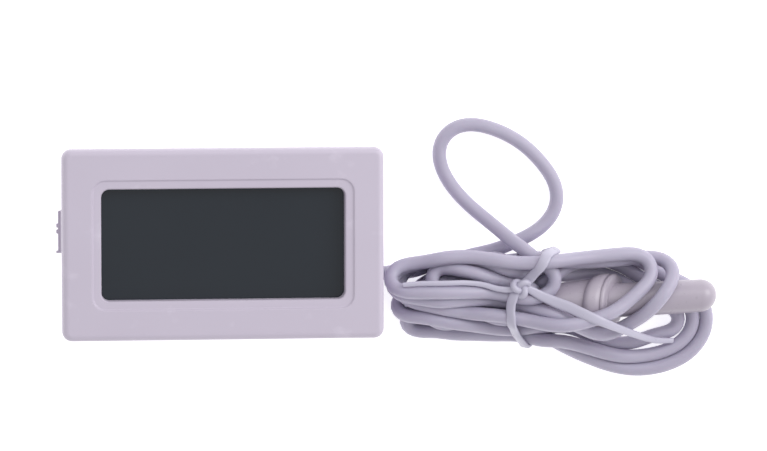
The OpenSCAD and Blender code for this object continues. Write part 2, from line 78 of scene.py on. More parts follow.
# The probe's tip, the slope of its axis in plan, and where its collar starts
PROBE_TIP = (75.8, -9.45, 4.8)
PROBE_SLOPE = 0.0454
COLLAR_X = 57.6

# Points along the cord: x, y, height. They were traced strand by strand and worked back through the
# camera to millimetres by another script, then moved by hand in places. Each comment starts a stretch.
ROUTE = [
    # out of the case wall and down to the table, under the hank
    (23.6, EXIT_Y, EXIT_Z), (25, EXIT_Y, EXIT_Z), (26.3, -5.4, 2.8), (27.8, -5.9, 1.6), (32.5, -5.3, 1.1),
    (37, -4.2, 1.1), (40.9, -3.1, 1.1), (43.2, -2.3, 1.1), (44.7, -1.6, 1.1), (46.2, -1, 1.1),
    (47.7, -0.3, 1.1),
    # the free loop, flat on the table, up to where it crosses its own start
    (49.5, 0.9, 1.1), (50.7, 2.2, 1.1), (51.4, 3.4, 1.1), (51.8, 4.6, 1.1), (51.8, 5.8, 1.1),
    (51.6, 7, 1.1), (51, 8.3, 1.1), (50.3, 9.5, 1.1), (49.3, 10.7, 1.1), (48.3, 11.9, 1.1),
    (46.2, 13.7, 1.1), (44.7, 14.6, 1.1), (43.1, 15.4, 1.1), (41.6, 15.9, 1.1), (40.1, 16.3, 1.1),
    (38.5, 16.5, 1.1), (37, 16.2, 1.1), (35.5, 15.5, 1.1), (34.6, 14.5, 1.1), (34, 13.3, 1.1),
    (33.9, 12.1, 1.1), (34.1, 10.8, 1.1), (34.4, 9.6, 1.1), (35.1, 8.4, 1.1), (35.8, 7.2, 1.1),
    (36.8, 5.9, 1.1), (38, 4.7, 1.1), (39.3, 3.5, 1.2), (40.7, 2.3, 1.5), (42.2, 1.1, 2.2), (43.5, 0, 3.3),
    (44.9, -1.2, 4.6),
    # a short turn back over the probe's tail and into the tie
    (46.1, -2.2, 5.8), (47.2, -3.1, 6.8), (48.5, -3.9, 7.6), (49.7, -4.7, 8.2), (50.6, -5.8, 8.6),
    (50.5, -7.2, 8.8), (49.4, -8.3, 8.9), (47.8, -9.1, 8.8), (46, -9.2, 8.6), (44.1, -8.9, 8.4),
    # turn 1
    (42.3, -8.5, 8.2), (39.2, -8.3, 8.2), (36.2, -8.2, 8), (33.2, -8.1, 8), (30.2, -8, 8), (28.3, -7.9, 8),
    (26.5, -7.5, 8), (25.5, -6.8, 8), (25.3, -6, 8), (25.9, -5.3, 8), (26.6, -4.8, 8), (28.3, -4.2, 8),
    (29.6, -3.9, 8), (31.4, -3.6, 8), (33.3, -3.2, 8), (35.5, -3, 8), (37.7, -2.9, 8), (40, -3.1, 8),
    (42.3, -3.6, 8), (44.6, -3.8, 8), (46.9, -3.8, 8), (49.1, -3.7, 8), (51.4, -3.6, 8), (53.7, -3.4, 7.8),
    (56, -3.3, 7.6), (58.3, -3.1, 7.6), (60.6, -3, 7.8), (62.7, -3.1, 8.1), (64.6, -3.6, 8.4),
    (65.5, -4.2, 8.5), (65.7, -4.9, 8.6), (65.5, -5.8, 8.6), (65.1, -6.7, 8.6), (64.4, -7.6, 8.6),
    (63.2, -8.5, 8.6), (62.2, -9.4, 8.4), (61.2, -10.3, 8.2), (60, -11, 8), (58.6, -11.6, 7.8),
    (57.3, -12.1, 7.4), (56.1, -12.5, 7.1), (54.7, -12.8, 6.8), (53.2, -13.1, 6.5), (51.7, -13.3, 6.3),
    (50.2, -13.2, 6.1), (48.7, -13, 5.9), (47.2, -12.8, 5.8), (45.6, -12.5, 5.7), (44.1, -12.2, 5.6),
    # turn 2
    (42.6, -12, 5.5), (39.6, -11.6, 5.5), (36.5, -11.3, 5.5), (35, -11.1, 5.5), (33.5, -10.8, 5.4),
    (32, -10.5, 5.3), (30.5, -10.2, 5.2), (29, -9.7, 5), (27.9, -9.1, 4.8), (27.3, -8.2, 4.6),
    (27.2, -7.2, 4.5), (27.7, -6.1, 4.5), (28.7, -5.1, 4.5), (30.6, -4.5, 4.5), (33.6, -3.9, 4.5),
    (38.1, -3.7, 4.8), (42.6, -4.2, 5.2), (47.2, -4.4, 5.6), (51.7, -4.1, 5.8), (57.8, -4.1, 5.8),
    (62.3, -3.8, 6.3), (65.3, -3.8, 7), (67.7, -4.1, 7.8), (68.8, -4.5, 8.2), (69.2, -5.2, 8.4),
    (69, -5.9, 8.5), (68.5, -6.7, 8.6), (68, -7.6, 8.6), (67.5, -8.5, 8.6), (66.9, -9.5, 8.4),
    (65.7, -10.5, 8.2), (64.8, -11.5, 7.8), (63.8, -12.5, 7.2), (62.4, -13.3, 6.4), (61, -14.2, 5.6),
    (59.5, -14.7, 4.9), (58.1, -14.8, 4.4), (56.6, -14.6, 4.2), (55, -14.1, 4.2), (53.5, -13.3, 4.4),
    (51.8, -12.4, 5.2), (50.2, -11.6, 6.2), (48.5, -11.2, 6.9), (47, -10.9, 7.1), (45.5, -10.6, 7.1),
    (43.9, -10.1, 7.1),
    # turn 3
    (42.4, -9.8, 7), (39.4, -9.7, 7), (36.4, -9.6, 7), (33.3, -9.4, 6.8), (30.3, -9.1, 6.5),
    (28.8, -8.9, 6.3), (27.1, -8.5, 6), (26.1, -7.9, 5.8), (25.9, -7.1, 5.8), (26.2, -6.2, 5.9),
    (27, -5.3, 6), (28.9, -4.7, 6), (31.1, -4.1, 6), (34.2, -3.7, 6), (38, -4, 5.5), (42.7, -4.7, 4.5),
    (47.4, -5.5, 3.5), (50.6, -6.2, 2.6), (53.8, -6.5, 1.6), (57, -6.4, 1.1), (58.5, -6.4, 1.1),
    (60, -6.5, 1.1), (61.6, -6.9, 1.1), (63.1, -8, 1.1), (64.7, -9, 1.1), (67, -10.2, 1.1),
    (69, -11.1, 1.1), (70.4, -11.9, 1.2), (71, -12.7, 1.4), (70.9, -13.3, 1.6), (70.3, -14, 1.8),
    (69.2, -14.7, 2.1), (67.6, -15.4, 2.4), (66, -16.3, 2.9), (64.4, -16.7, 3.1), (62.8, -17, 3.3),
    (61.3, -17.1, 3.5), (59.7, -16.8, 3.7), (58.2, -16.4, 3.8), (56.6, -15.6, 3.8), (55.1, -15, 3.8),
    (53.6, -14.5, 3.8), (52, -14, 3.8), (49.7, -13.6, 3.6), (47.5, -13.6, 3.4), (45.9, -13.8, 3.5),
    (44.4, -14.2, 3.6),
    # turn 4
    (42.8, -14.4, 3.8), (39.8, -13.7, 4), (36.7, -13.4, 4), (35.2, -13.1, 4), (33.7, -12.6, 4),
    (32.2, -12.2, 3.8), (30.7, -11.9, 3.5), (29.3, -11.9, 3.2), (27.6, -11.7, 3), (26.8, -11.3, 2.8),
    (26.6, -10.5, 2.8), (26.9, -9.8, 2.8), (27.8, -9.1, 2.9), (30, -8.6, 3), (32.2, -7.8, 3),
    (35.3, -6.9, 3), (39.9, -6.1, 3), (44.5, -5.7, 2.8), (49.1, -5.2, 2.2), (52.3, -4.5, 1.4),
    (55.4, -4.1, 1.1), (58, -4.1, 1.1), (60.1, -4.6, 1.1), (61.8, -5.8, 1.1), (63.2, -6.7, 1.1),
    (64.7, -7.5, 1.1), (66.5, -8.3, 1.1), (68.6, -9, 1.1), (70.6, -10, 1.1), (72.3, -11.3, 1.1),
    (73, -12.5, 1.1), (73.1, -13.7, 1.2), (72.8, -14.9, 1.3), (72.1, -15.9, 1.4), (71.3, -16.8, 1.5),
    (70.4, -17.3, 1.8), (69.2, -18, 2), (67.7, -18.6, 2.3), (66.1, -18.9, 2.5), (64.6, -19.1, 2.6),
    (63, -19.1, 2.6), (61.5, -18.9, 2.6), (58.4, -18.2, 2.6), (55.3, -17.2, 2.6), (52.2, -16.4, 2.5),
    (49.9, -15.8, 2.4), (47.6, -15.3, 2.5), (45.3, -15.3, 2.6),
    # turn 5
    (43, -15.3, 2.6), (40.7, -15.3, 2.4), (38.5, -15.2, 2.2), (36.2, -14.9, 2), (33.9, -14.7, 1.8),
    (31.6, -14.5, 1.6), (29.5, -14.3, 1.4), (28.5, -13.7, 1.2), (28.1, -12.9, 1.1), (28.6, -12, 1.1),
    (29.6, -11.3, 1.1), (32.5, -10.7, 1.1), (37, -10, 1.1), (41, -9.3, 1.5), (45, -8.2, 2.5),
    (49, -6.2, 3.4), (53, -4.8, 3.4), (57, -4, 3.2), (60.6, -3.7, 2.9), (62.7, -3.8, 2.5), (64.3, -4.2, 2),
    (65.4, -4.9, 1.7), (66.2, -5.6, 1.4), (67.3, -6.9, 1.2), (68.8, -7.9, 1.1), (70.4, -8.8, 1.1),
    (72.4, -9.7, 1.1), (73.8, -10.9, 1.1), (74.5, -12.3, 1.1), (74.5, -13.7, 1.1), (74.4, -14.9, 1.1),
    (74, -16.2, 1.1), (73.3, -17.4, 1.1), (72.4, -18.5, 1.1), (70.9, -19.6, 1.1), (68.6, -20.5, 1.1),
    (66.3, -20.9, 1.1), (64, -21.1, 1.1), (61.6, -20.8, 1.1), (59.3, -20.2, 1.1), (57, -19.3, 1.1),
    (54.7, -18.3, 1.1), (52.4, -17.2, 1.1), (50.1, -15.8, 1.1), (47.8, -15.2, 1.1), (45.5, -14.9, 1.1),
    (43.2, -14.9, 1.1), (40.1, -14.2, 1.1),
]
# Made-up turns inside the hank, which nothing shows of: left end, right end, upper run, lower run,
# height, height at the right end
INNER_TURNS = [
    (30, 48.5, -5, -13, 1.1, 3),
    (31.5, 46.5, -6.4, -12.2, 1.1, 3),
    (30.5, 48, -4.8, -13.6, 3, 4),
    (32.5, 46.5, -7, -11.4, 3, 4),
]
# The small last loop, over the hank's left half, under the knot and into the probe's tail; traced like the rest
LAST_RUN = [
    (42.9, -12.8, 3), (38.2, -10.8, 4), (35.1, -9.2, 4.6), (33, -7.9, 5.4), (32.2, -6.8, 6.3),
    (32, -5.8, 7.1), (32.5, -5.1, 7.7), (33.4, -4.9, 7.9), (34.7, -4.9, 8), (36.2, -5, 8), (37.7, -5.1, 8),
    (39.3, -5.4, 7.8), (40.8, -5.9, 7.6), (42.4, -6.4, 7.2), (44, -6.9, 6.8), (45.6, -7.8, 6.2),
    (47.2, -8.9, 5.6), (48.8, -10.2, 5),
]


def inner_turn(left, right, upper, lower, z, end_z):
    """One flat turn between the given ends and runs."""
    mid = (upper + lower) / 2
    return [
        (40, lower, z), (left + 4, lower + 0.4, z), (left + 1, mid - 1.6, z), (left + 0.6, mid + 1.2, z),
        (left + 4, upper - 0.4, z), (40, upper, z), (right - 4, upper, z), (right - 0.9, upper - 1.6, z),
        (right, mid, end_z), (right - 0.9, lower + 1.6, z), (right - 4, lower, z),
    ]


def along(points, step):
    """Points at an even step along a smooth curve through the given ones."""
    p = np.array(points, float)
    p = np.vstack([2 * p[0] - p[1], p, 2 * p[-1] - p[-2]])
    fine = []
    t = np.linspace(0, 1, 24, endpoint=False)[:, None]
    for a, b, c, d in zip(p[:-3], p[1:-2], p[2:-1], p[3:]):
        square, cube = 2 * a - 5 * b + 4 * c - d, 3 * b - a - 3 * c + d
        fine.append(0.5 * (2 * b + (c - a) * t + square * t ** 2 + cube * t ** 3))
    fine = np.vstack(fine + [p[-2][None]])
    run = np.concatenate([[0], np.cumsum(np.linalg.norm(np.diff(fine, axis=0), axis=1))])
    count = max(2, int(round(run[-1] / step)))
    at = np.linspace(0, run[-1], count + 1)
    return np.stack([np.interp(at, run, fine[:, k]) for k in range(3)], axis=1)


def probe_axis_y(x):
    return PROBE_TIP[1] + (x - PROBE_TIP[0]) * PROBE_SLOPE


def probe_radius(x):
    """Radius of the probe's tail, collar or shell at each x, and 0 past its ends."""
    r = np.zeros_like(x)
    r = np.where((x > 48.6) & (x <= 57), np.interp(x, [48.6, 50.5, 53, 57], [2.2, 2.95, 3.25, 3.5]), r)
    r = np.where((x > 55.2) & (x < 62), 4.1 - 0.5 * np.abs(x - 58.6), r)
    r = np.where((x >= 62) & (x < 73.3), 2.6, r)
    tip = (x >= 73.3) & (x < 75.8)
    return np.where(tip, np.sqrt(np.clip(2.5 ** 2 - (x - 73.3) ** 2, 0, None)), r)


def push_out(p, reach):
    """Moves points clear of the probe, the table, and the tie where it runs under the hank."""
    over_tie = np.clip(1 - np.abs(p[:, 0] - TIE_X) / TIE_REACH, 0, 1) * np.clip((1 - p[:, 1]) / 2, 0, 1)
    lift = TIE_LIFT * over_tie
    p[:, 2] = np.maximum(p[:, 2], reach + lift)
    near = probe_radius(p[:, 0]) + reach
    off = np.stack([p[:, 1] - probe_axis_y(p[:, 0]), p[:, 2] - PROBE_TIP[2]], axis=1)
    gap = np.linalg.norm(off, axis=1) + 1e-9
    inside = (near > reach) & (gap < near)
    p[inside, 1:] += off[inside] * ((near - gap) / gap)[inside, None]
    low = (p[:, 2] < reach + lift)
    p[low, 2] = (reach + lift)[low]


def unbend(p):
    """Straightens the line a little everywhere, and much where it bends above the limit."""
    mid = (p[:-2] + p[2:]) / 2 - p[1:-1]
    bend = 2 * np.linalg.norm(mid, axis=1) / STEP ** 2
    bend = np.convolve(np.pad(bend, 2, mode="edge"), np.ones(5) / 5, mode="valid")
    p[1:-1] += (0.006 + 0.4 * np.clip((bend - BEND_LIMIT) / 0.3, 0, 1))[:, None] * mid
    for _ in range(3):
        p[2:-2] -= 0.07 * (p[:-4] - 4 * p[1:-3] + 6 * p[2:-2] - 4 * p[3:-1] + p[4:])


def settle(p, hold, turns=500):
    """Lets the cord's points come to rest: even steps, pushed apart where strands overlap, drawn to the route."""
    goal = p.copy()
    aim = p.copy()
    n = len(p)
    fixed = np.zeros(n, bool)
    fixed[:3] = True
    fixed[-3:] = True
    start = p.copy()
    pairs = None
    for turn in range(turns):
        late = turn / turns
        p[:, :2] += (hold * (1 - 0.6 * late))[:, None] * (aim[:, :2] - p[:, :2])
        p[:, 2] -= 0.035 * (1 - 0.7 * late)
        if turn % 70 == 69:
            miss = goal[:, :2] - p[:, :2]
            aim[:, :2] += 0.6 * (hold > 0.1)[:, None] * np.clip(miss, -1, 1)
        unbend(p)
        if turn % 6 == 0:
            pairs = close_pairs(p)
        part_pairs(p, pairs, goal[:, 2])
        push_out(p, CORD_R)
        p[fixed] = start[fixed]
        even_steps(p, 3)
        p[fixed] = start[fixed]
    return p


def even_steps(p, turns):
    """Brings the distance between neighbouring points back to one step."""
    for _ in range(turns):
        for first in (0, 1):
            a, b = p[first:-1:2], p[first + 1::2]
            m = min(len(a), len(b))
            d = b[:m] - a[:m]
            size = np.linalg.norm(d, axis=1, keepdims=True) + 1e-9
            fix = d * (0.5 * (size - STEP) / size)
            p[first:first + 2 * m:2] += fix
            p[first + 1:first + 1 + 2 * m:2] -= fix


def part_pairs(p, pairs, order, turns=2):
    """Moves pairs of points apart where the cord lies in itself, more up and down than sideways."""
    i, j = pairs
    n = len(p)
    for _ in range(turns):
        d = p[i] - p[j]
        gap = np.linalg.norm(d, axis=1) + 1e-9
        need = np.clip(CORD_D * 1.01 - gap, 0, None)
        way = d * (SIDEWAYS, SIDEWAYS, 1)
        way[:, 2] += 0.5 * np.clip(order[i] - order[j], -1, 1)
        way /= np.linalg.norm(way, axis=1)[:, None] + 1e-9
        shove = way * (0.5 * need)[:, None]
        total = np.zeros_like(p)
        count = np.ones(n)
        np.add.at(total, i, shove)
        np.add.at(total, j, -shove)
        np.add.at(count, i, (need > 0) * 0.35)
        np.add.at(count, j, (need > 0) * 0.35)
        p += total / count[:, None]


def close_pairs(p):
    """Pairs of points that are near each other in space but not along the cord."""
    d2 = ((p[:, None, :] - p[None, :, :]) ** 2).sum(-1)
    i, j = np.nonzero(d2 < (CORD_D + 1.2) ** 2)
    keep = (j - i) > int(round(2.2 * CORD_D / STEP))
    return i[keep], j[keep]


def evened(p, step):
    """The same line with its points at an even step."""
    run = np.concatenate([[0], np.cumsum(np.linalg.norm(np.diff(p, axis=0), axis=1))])
    at = np.linspace(0, run[-1], int(round(run[-1] / step)) + 1)
    return np.stack([np.interp(at, run, p[:, k]) for k in range(3)], axis=1)


def soften(p, turns=36):
    """Rounds the settled line's small kinks and parts it again."""
    p = evened(p, STEP)
    ends = p[:2].copy(), p[-2:].copy()
    order = p[:, 2].copy()
    for turn in range(turns):
        if turn % 4 == 0:
            pairs = close_pairs(p)
        for pull in (0.5, -0.52):
            p[1:-1] += pull * ((p[:-2] + p[2:]) / 2 - p[1:-1])
        part_pairs(p, pairs, order, 2)
        push_out(p, CORD_R)
        even_steps(p, 2)
        for _ in range(4):
            mid = (p[:-2] + p[2:]) / 2 - p[1:-1]
            bend = 2 * np.linalg.norm(mid, axis=1, keepdims=True) / STEP ** 2
            p[1:-1] += 0.5 * np.clip((bend - BEND_LIMIT) / 0.15, 0, 1) * mid
        p[:2], p[-2:] = ends
    return p


def build_route():
    """The whole route at even steps, and how firmly each point is held to it."""
    points = list(ROUTE)
    for spec in INNER_TURNS:
        points += inner_turn(*spec)
    points += LAST_RUN
    seen = along(ROUTE, STEP)
    p = along(points, STEP)
    hold = np.full(len(p), HOLD_HIDDEN)
    hold[:len(seen) - 12] = HOLD_SEEN
    hold[-24:] = HOLD_SEEN
    return p, hold


# ---------------------------------------------------------------- mesh helpers (millimetres in, metres out)
def make(name, verts, faces, sharp=35):
    """Object from vertices in millimetres."""
    mesh = bpy.data.meshes.new(name)
    mesh.from_pydata([tuple(float(c) * MM for c in v) for v in verts], [], faces)
    mesh.validate()
    obj = bpy.data.objects.new(name, mesh)
    scene.collection.objects.link(obj)
    finish_mesh(obj, sharp)
    return obj


def finish_mesh(obj, sharp=35):
    """Outward faces and smooth shading with sharp edges above an angle."""
    work = bmesh.new()
    work.from_mesh(obj.data)
    bmesh.ops.remove_doubles(work, verts=work.verts, dist=1e-7)
    bmesh.ops.recalc_face_normals(work, faces=work.faces)
    work.to_mesh(obj.data)
    work.free()
    obj.data.shade_smooth()
    obj.data.set_sharp_from_angle(angle=math.radians(sharp))


def rounded(w, h, r, z, n=7, x=0.0, y=0.0):
    """Rounded rectangle at height z, as points in a ring."""
    ring = []
    for corner, (sx, sy) in enumerate(((1, 1), (-1, 1), (-1, -1), (1, -1))):
        for k in range(n + 1):
            a = math.pi / 2 * (corner + k / n)
            ring.append((x + sx * (w / 2 - r) + r * math.cos(a), y + sy * (h / 2 - r) + r * math.sin(a), z))
    return ring


def round_ring(r, z, n=48, x=0.0, y=0.0):
    return [(x + r * math.cos(2 * math.pi * k / n), y + r * math.sin(2 * math.pi * k / n), z) for k in range(n)]


def loft(rings, closed=False):
    """Vertices and faces of a skin through rings of equal count, with flat ends unless it closes on itself."""
    n, count = len(rings[0]), len(rings)
    verts = [v for ring in rings for v in ring]
    faces = []
    for i in range(count if closed else count - 1):
        a, b = i * n, ((i + 1) % count) * n
        for k in range(n):
            m = (k + 1) % n
            faces.append((a + k, a + m, b + m, b + k))
    if not closed:
        faces.append(tuple(range(n))[::-1])
        faces.append(tuple(range((count - 1) * n, count * n)))
    return verts, faces


def joined(parts):
    """One vertex and face list from several."""
    verts, faces = [], []
    for v, f in parts:
        faces += [tuple(i + len(verts) for i in face) for face in f]
        verts += list(v)
    return verts, faces


def fillet(w, h, r, z_from, z_to, edge, n=6):
    """Rings that round a rectangle's edge from its side at z_from over to its flat at z_to."""
    up = 1 if z_to > z_from else -1
    rings = []
    for k in range(n + 1):
        a = math.pi / 2 * k / n
        inset = edge * (1 - math.cos(a))
        z = z_to - up * edge * (1 - math.sin(a))
        rings.append(rounded(w - 2 * inset, h - 2 * inset, max(r - inset, 0.05), z))
    return rings


def cut_away(obj, cutters, sharp=35):
    """Takes the cutters' shapes out of obj, exactly, and removes the cutters."""
    for cutter in cutters:
        mod = obj.modifiers.new("cut", "BOOLEAN")
        mod.operation = "DIFFERENCE"
        mod.solver = "EXACT"
        mod.object = cutter
    bpy.context.view_layer.update()
    result = bpy.data.meshes.new_from_object(obj.evaluated_get(bpy.context.evaluated_depsgraph_get()))
    obj.modifiers.clear()
    old = obj.data
    obj.data = result
    bpy.data.meshes.remove(old)
    for cutter in cutters:
        data = cutter.data
        bpy.data.objects.remove(cutter)
        bpy.data.meshes.remove(data)
    finish_mesh(obj, sharp)


def block(name, low, high, round_by=0.0, axis=2, n=4):
    """Box between two corners with rounded upright edges along an axis, for cutting or building."""
    low, high = np.array(low, float), np.array(high, float)
    size, mid = high - low, (high + low) / 2
    order = {2: (0, 1, 2), 0: (1, 2, 0), 1: (2, 0, 1)}[axis]
    ring_a = rounded(size[order[0]], size[order[1]], max(round_by, 0.01), 0, n)
    verts = []
    for end in (low[axis], high[axis]):
        for px, py, _ in ring_a:
            v = [0, 0, 0]
            v[order[0]], v[order[1]], v[order[2]] = px + mid[order[0]], py + mid[order[1]], end
            verts.append(v)
    m = len(ring_a)
    faces = [(k, (k + 1) % m, m + (k + 1) % m, m + k) for k in range(m)]
    faces += [tuple(range(m))[::-1], tuple(range(m, 2 * m))]
    return make(name, verts, faces)


def turned(name, profile, x0, y, z, n=48, sharp=35):
    """Solid of revolution about a line along X: profile is (distance along X, radius)."""
    rings = []
    for dx, r in profile:
        turns = [2 * math.pi * k / n for k in range(n)]
        rings.append([(x0 + dx, y + r * math.cos(a), z + r * math.sin(a)) for a in turns])
    return make(name, *loft(rings), sharp=sharp)


def swept(name, line, section, closed=False, sharp=40, up=None, wide=None):
    """Skin of a section (across, out) carried along a line; up is the out direction at each point, wide the breadth."""
    line = np.asarray(line, float)
    n = len(line)
    if closed:
        ahead = np.roll(line, -1, axis=0) - np.roll(line, 1, axis=0)
    else:
        ahead = np.gradient(line, axis=0)
    ahead /= np.linalg.norm(ahead, axis=1, keepdims=True) + 1e-12
    outs = []
    if up is None:
        out = np.cross(ahead[0], (0, 1, 0.1))
        out /= np.linalg.norm(out)
        for t in ahead:
            out = out - t * out.dot(t)
            out /= np.linalg.norm(out)
            outs.append(out.copy())
    else:
        for t, u in zip(ahead, up):
            out = u - t * np.dot(u, t)
            outs.append(out / (np.linalg.norm(out) + 1e-12))
    outs = np.array(outs)
    across = np.cross(ahead, outs)
    across *= np.ones(n)[:, None] if wide is None else np.asarray(wide)[:, None]
    rings = [[line[i] + across[i] * a + outs[i] * o for a, o in section] for i in range(n)]
    verts, faces = loft(rings, closed=closed)
    return make(name, verts, faces, sharp)


# ---------------------------------------------------------------- materials
def srgb(r, g, b):
    """Linear colour of an 8-bit screen colour."""
    shares = [c / 255 for c in (r, g, b)]
    return tuple(((c + 0.055) / 1.055) ** 2.4 if c > 0.04 else c / 12.92 for c in shares) + (1.0,)


def material(name, colour, second, rough=0.4, rough_spread=0.08, grain=900.0, bump=0.04, metal=0.0, wear=None,
             coat=0.0, sheen_scatter=0.0, patch=60.0, specular=0.5):
    """Procedural surface: slow colour patches, fine grain in colour, roughness and bump, and worn spots."""
    mat = bpy.data.materials.new(name)
    mat.use_nodes = True
    nodes, links = mat.node_tree.nodes, mat.node_tree.links
    shader = nodes["Principled BSDF"]
    place = nodes.new("ShaderNodeTexCoord")

    def noise(scale, detail):
        tex = nodes.new("ShaderNodeTexNoise")
        tex.inputs["Scale"].default_value = scale
        tex.inputs["Detail"].default_value = detail
        links.new(place.outputs["Object"], tex.inputs["Vector"])
        return tex

    patches, fine = noise(patch, 3), noise(grain, 4)
    blend = nodes.new("ShaderNodeMixRGB")
    blend.inputs[1].default_value, blend.inputs[2].default_value = colour, second
    links.new(patches.outputs["Fac"], blend.inputs[0])
    out_colour = blend.outputs[0]
    if wear is not None:
        scuffs = noise(grain / 7, 6)
        spots = nodes.new("ShaderNodeMapRange")
        spots.inputs["From Min"].default_value, spots.inputs["From Max"].default_value = 0.62, 0.8
        links.new(scuffs.outputs["Fac"], spots.inputs["Value"])
        amount = nodes.new("ShaderNodeMath")
        amount.operation = "MULTIPLY"
        links.new(spots.outputs[0], amount.inputs[0])
        links.new(fine.outputs["Fac"], amount.inputs[1])
        worn = nodes.new("ShaderNodeMixRGB")
        worn.inputs[2].default_value = wear
        links.new(amount.outputs[0], worn.inputs[0])
        links.new(out_colour, worn.inputs[1])
        out_colour = worn.outputs[0]
    links.new(out_colour, shader.inputs["Base Color"])
    spread = nodes.new("ShaderNodeMapRange")
    spread.inputs["To Min"].default_value = max(0.03, rough - rough_spread)
    spread.inputs["To Max"].default_value = min(1.0, rough + rough_spread)
    links.new(fine.outputs["Fac"], spread.inputs["Value"])
    links.new(spread.outputs[0], shader.inputs["Roughness"])
    if bump > 0:
        relief = nodes.new("ShaderNodeBump")
        relief.inputs["Strength"].default_value = bump
        relief.inputs["Distance"].default_value = 0.0001
        links.new(fine.outputs["Fac"], relief.inputs["Height"])
        links.new(relief.outputs[0], shader.inputs["Normal"])
    shader.inputs["Metallic"].default_value = metal
    shader.inputs["Specular IOR Level"].default_value = specular
    shader.inputs["Coat Weight"].default_value = coat
    if sheen_scatter:
        shader.inputs["Subsurface Weight"].default_value = sheen_scatter
        shader.inputs["Subsurface Radius"].default_value = (0.0012, 0.0009, 0.001)
        shader.inputs["Subsurface Scale"].default_value = 1.0
    return mat


HOUSING = material("housing_white", srgb(202, 193, 210), srgb(196, 187, 204),
    rough=0.42, grain=1400, bump=0.05, wear=srgb(222, 214, 230))
CORD = material("cord_white", srgb(182, 177, 195), srgb(175, 169, 191),
    rough=0.42, grain=1800, bump=0.03, patch=90, sheen_scatter=0.4)
TIE = material("tie_white", srgb(194, 190, 208), srgb(187, 183, 202), rough=0.3, grain=1500, bump=0.03)
PROBE = material("probe_white", srgb(180, 171, 184), srgb(173, 164, 178), rough=0.3, grain=1500, bump=0.02)
DISPLAY = material("display_film", srgb(36, 42, 50), srgb(31, 37, 45),
    rough=0.16, rough_spread=0.03, grain=2200, bump=0.0, specular=0.45)
GLASS = material("display_glass", srgb(40, 48, 50), srgb(36, 44, 46),
    rough=0.1, rough_spread=0.02, bump=0.0)
SEAL = material("seal", srgb(150, 150, 140), srgb(140, 140, 130), rough=0.5)
FOIL = material("reflector_foil", srgb(165, 170, 165), srgb(150, 156, 152),
    rough=0.35, metal=0.8, grain=2500)
ZEBRA = material("zebra_rubber", srgb(205, 150, 170), srgb(190, 135, 155), rough=0.7, grain=800, bump=0.1)
BOARD = material("board", srgb(32, 92, 52), srgb(26, 80, 44),
    rough=0.35, grain=1200, bump=0.05, wear=srgb(120, 140, 90))
RESIN = material("black_resin", srgb(20, 20, 22), srgb(26, 26, 28), rough=0.25, grain=700, bump=0.08)
CERAMIC = material("ceramic_tan", srgb(170, 140, 105), srgb(155, 126, 92), rough=0.6)
STEEL = material("screw_steel", srgb(190, 190, 192), srgb(170, 170, 174),
    rough=0.3, metal=1.0, grain=1500, wear=srgb(225, 225, 225))
NICKEL = material("contact_nickel", srgb(200, 195, 178), srgb(182, 176, 160),
    rough=0.28, metal=1.0, grain=1800, wear=srgb(230, 226, 210))
CELL = material("cell_steel", srgb(200, 201, 204), srgb(184, 186, 190),
    rough=0.2, metal=1.0, grain=1700, wear=srgb(230, 230, 232))
GASKET = material("cell_gasket", srgb(40, 62, 50), srgb(34, 54, 44), rough=0.6)
RED = material("wire_red", srgb(165, 30, 26), srgb(150, 24, 22), rough=0.35)
BLACK = material("wire_black", srgb(24, 24, 25), srgb(30, 30, 31), rough=0.35)
POTTING = material("potting", srgb(90, 84, 76), srgb(80, 74, 68), rough=0.7, grain=600, bump=0.1)

NODE_LOOKS = {
    "display_polariser": DISPLAY, "display_front_glass": GLASS, "display_rear_glass": GLASS, "display_seal": SEAL,
    "display_reflector": FOIL, "zebra_strip_upper": ZEBRA, "zebra_strip_lower": ZEBRA, "circuit_board": BOARD,
    "controller_blob": RESIN, "thermistor_bead": RESIN, "chip_resistors": RESIN, "chip_capacitors": CERAMIC,
    "board_screws": STEEL, "timing_crystal": STEEL, "cord_stop": STEEL, "thermistor_leads": STEEL,
    "contact_negative": NICKEL, "contact_bridge": NICKEL, "contact_positive": NICKEL,
    "cell_a_can": CELL, "cell_a_cap": CELL, "cell_b_can": CELL, "cell_b_cap": CELL,
    "cell_a_gasket": GASKET, "cell_b_gasket": GASKET, "sensor_wire_a": RED, "sensor_wire_b": BLACK,
    "cord_inner_end": CORD, "probe_cord_end": CORD, "probe_potting": POTTING,
}


def wear_look(obj, mat):
    obj.data.materials.clear()
    obj.data.materials.append(mat)


for node_name, look in NODE_LOOKS.items():
    wear_look(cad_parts[node_name], look)


# ---------------------------------------------------------------- housing
BODY_W, BODY_H, BODY_R = 46.0, 26.2, 1.0
# Edges that turn by more than this many degrees stay sharp on the housing
SHARP = 32
# Middle of the battery door's well and door, and of its two cells
WELL_Y, DOOR_Y, CELL_X, CELL_Y = -4.65, -5.35, 6.1, -4.6
CLIP_Y, CLIP_H = 1.4, 6.3


